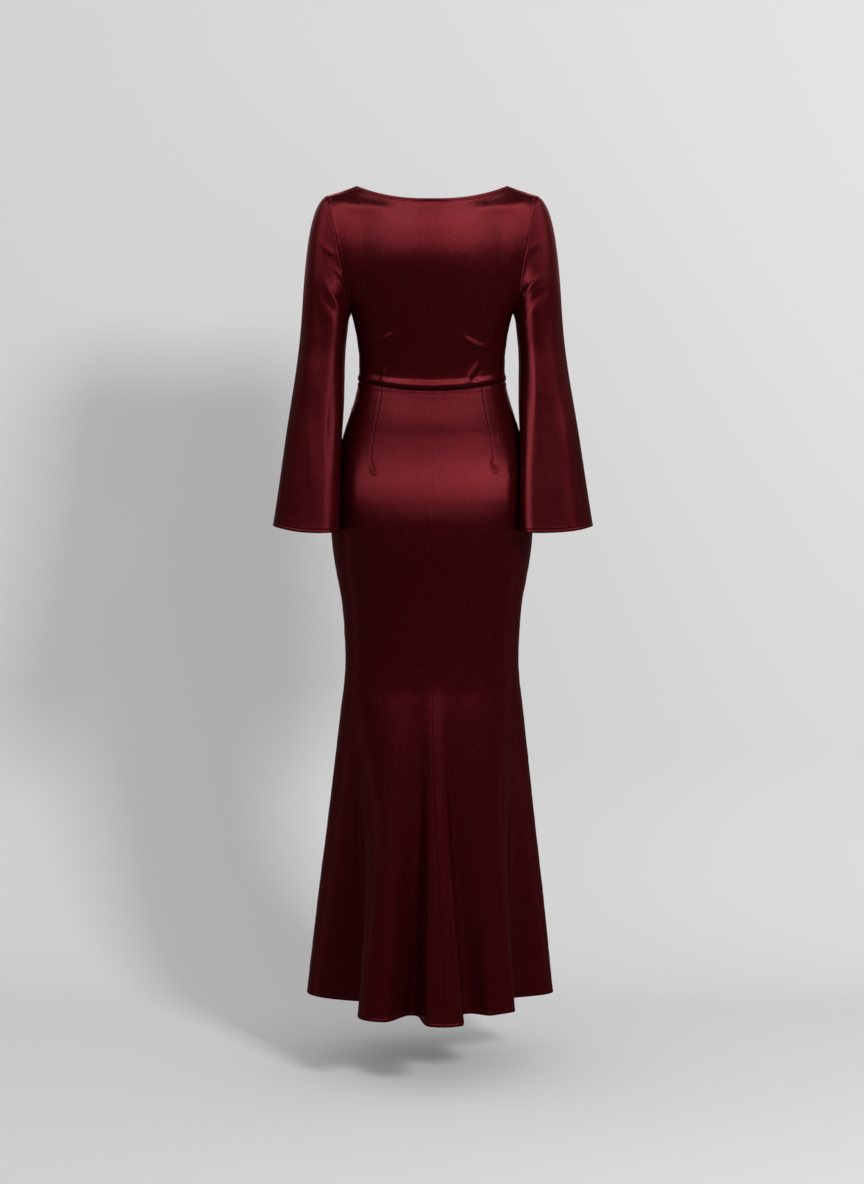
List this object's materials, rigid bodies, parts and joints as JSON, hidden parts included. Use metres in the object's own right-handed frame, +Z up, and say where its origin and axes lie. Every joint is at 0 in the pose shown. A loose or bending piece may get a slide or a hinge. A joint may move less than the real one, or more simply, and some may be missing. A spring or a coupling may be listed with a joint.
{
  "type": "mermaid gown",
  "caption": "Full-length satin mermaid gown with long bell sleeves, a wide neckline, a fitted bodice and hips and a flared hem, filled out as it is when it is worn.",
  "frame": {"origin": "midway between the two shoulder seams, level with the neck points, where the wearer's shoulders hold the gown", "axes": "+Z up along the body, +Y towards the gown's front, -Y towards its back, +X towards the wearer's right side"},
  "size_m": [0.5631, 0.4728, 1.4381],
  "materials": {
    "satin": "deep burgundy crepe-back satin, glossy in broad soft bands, with a fine weave that speckles the highlights"
  },
  "bodies": {
    "root": {"bodice_back": "satin", "bodice_front": "satin", "sleeve_right": "satin", "sleeve_left": "satin", "skirt_back_right": "satin", "skirt_back_left": "satin", "skirt_front": "satin"}
  },
  "joints": []
}
